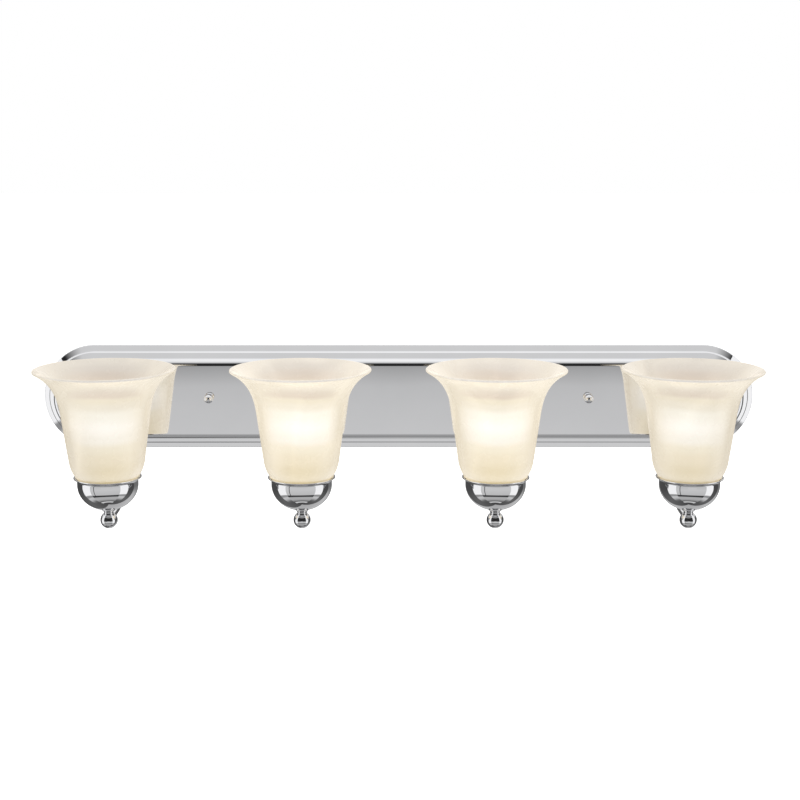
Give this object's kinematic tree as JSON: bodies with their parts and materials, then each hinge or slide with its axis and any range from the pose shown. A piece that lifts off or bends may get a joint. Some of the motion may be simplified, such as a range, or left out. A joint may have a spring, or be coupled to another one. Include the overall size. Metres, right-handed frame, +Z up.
{
  "type": "vanity light bar",
  "caption": "Wall-held chrome vanity light bar: a stepped round-ended backplate, curved arms with ball hubs, spun cups and flared white glass shades.",
  "frame": {"origin": "on the wall plane, midway between the two junction box screws, at the middle of the backplate", "axes": "+X along the bar, +Y into the wall, +Z up; the lamps stand out along -Y"},
  "size_m": [0.864, 0.203, 0.1972],
  "materials": {
    "chrome": "polished",
    "zinc_steel": "zinc plated",
    "brass": "satin",
    "copper": "bare copper",
    "green_screw": "green passivated",
    "porcelain": "glazed white",
    "white_plastic": "moulded",
    "alabaster_glass": "white swirled glass, satin",
    "bulb_glass": "soft white coated",
    "bulb_cap": "rolled thread",
    "black_insulation": "extruded",
    "white_insulation": "extruded",
    "orange_cap": "ribbed"
  },
  "bodies": {
    "fixture": {"backplate": "chrome", "mounting_bar": "zinc_steel", "bar_studs": "zinc_steel", "stud_nuts": "zinc_steel", "ground_screw": "green_screw", "ground_wire": "copper", "wire_black": "black_insulation", "wire_white": "white_insulation", "wire_connectors": "orange_cap", "check_rings": "chrome", "arm_washers": "zinc_steel", "arm_nuts": "zinc_steel", "threaded_nipples": "brass", "cup_nuts": "brass", "socket_contacts": "brass", "arm_1": "chrome", "arm_2": "chrome", "arm_3": "chrome", "arm_4": "chrome", "hub_1": "chrome", "hub_2": "chrome", "hub_3": "chrome", "hub_4": "chrome", "cup_1": "chrome", "cup_2": "chrome", "cup_3": "chrome", "cup_4": "chrome", "socket_body_1": "porcelain", "socket_body_2": "porcelain", "socket_body_3": "porcelain", "socket_body_4": "porcelain", "socket_shell_1": "brass", "socket_shell_2": "brass", "socket_shell_3": "brass", "socket_shell_4": "brass"},
    "shade_1": {"glass_shade_1": "alabaster_glass"},
    "ring_1": {"shade_ring_1": "white_plastic"},
    "bulb_1": {"bulb_glass_1": "bulb_glass", "bulb_base_1": "bulb_cap"},
    "shade_2": {"glass_shade_2": "alabaster_glass"},
    "ring_2": {"shade_ring_2": "white_plastic"},
    "bulb_2": {"bulb_glass_2": "bulb_glass", "bulb_base_2": "bulb_cap"},
    "shade_3": {"glass_shade_3": "alabaster_glass"},
    "ring_3": {"shade_ring_3": "white_plastic"},
    "bulb_3": {"bulb_glass_3": "bulb_glass", "bulb_base_3": "bulb_cap"},
    "shade_4": {"glass_shade_4": "alabaster_glass"},
    "ring_4": {"shade_ring_4": "white_plastic"},
    "bulb_4": {"bulb_glass_4": "bulb_glass", "bulb_base_4": "bulb_cap"},
    "knob_left_ball": {"knob_left": "chrome"},
    "knob_right_ball": {"knob_right": "chrome"}
  },
  "joints": [
    {"name": "shade_1_lift", "type": "slide", "parent": "fixture", "child": "shade_1", "axis": [0, 0, 1], "range_m": [0, 0.08]},
    {"name": "ring_1_turn", "type": "hinge", "parent": "shade_1", "child": "ring_1", "pos_m": [-0.336, -0.122, -0.074], "axis": [0, 0, 1], "continuous": true},
    {"name": "bulb_1_lift", "type": "slide", "parent": "shade_1", "child": "bulb_1", "axis": [0, 0, 1], "range_m": [0, 0.15]},
    {"name": "shade_2_lift", "type": "slide", "parent": "fixture", "child": "shade_2", "axis": [0, 0, 1], "range_m": [0, 0.08]},
    {"name": "ring_2_turn", "type": "hinge", "parent": "shade_2", "child": "ring_2", "pos_m": [-0.112, -0.122, -0.074], "axis": [0, 0, 1], "continuous": true},
    {"name": "bulb_2_lift", "type": "slide", "parent": "shade_2", "child": "bulb_2", "axis": [0, 0, 1], "range_m": [0, 0.15]},
    {"name": "shade_3_lift", "type": "slide", "parent": "fixture", "child": "shade_3", "axis": [0, 0, 1], "range_m": [0, 0.08]},
    {"name": "ring_3_turn", "type": "hinge", "parent": "shade_3", "child": "ring_3", "pos_m": [0.112, -0.122, -0.074], "axis": [0, 0, 1], "continuous": true},
    {"name": "bulb_3_lift", "type": "slide", "parent": "shade_3", "child": "bulb_3", "axis": [0, 0, 1], "range_m": [0, 0.15]},
    {"name": "shade_4_lift", "type": "slide", "parent": "fixture", "child": "shade_4", "axis": [0, 0, 1], "range_m": [0, 0.08]},
    {"name": "ring_4_turn", "type": "hinge", "parent": "shade_4", "child": "ring_4", "pos_m": [0.336, -0.122, -0.074], "axis": [0, 0, 1], "continuous": true},
    {"name": "bulb_4_lift", "type": "slide", "parent": "shade_4", "child": "bulb_4", "axis": [0, 0, 1], "range_m": [0, 0.15]},
    {"name": "knob_left_turn", "type": "hinge", "parent": "fixture", "child": "knob_left_ball", "pos_m": [-0.2286, -0.031, 0.0025], "axis": [0, 1, 0], "continuous": true},
    {"name": "knob_right_turn", "type": "hinge", "parent": "fixture", "child": "knob_right_ball", "pos_m": [0.2286, -0.031, 0.0025], "axis": [0, 1, 0], "continuous": true}
  ]
}
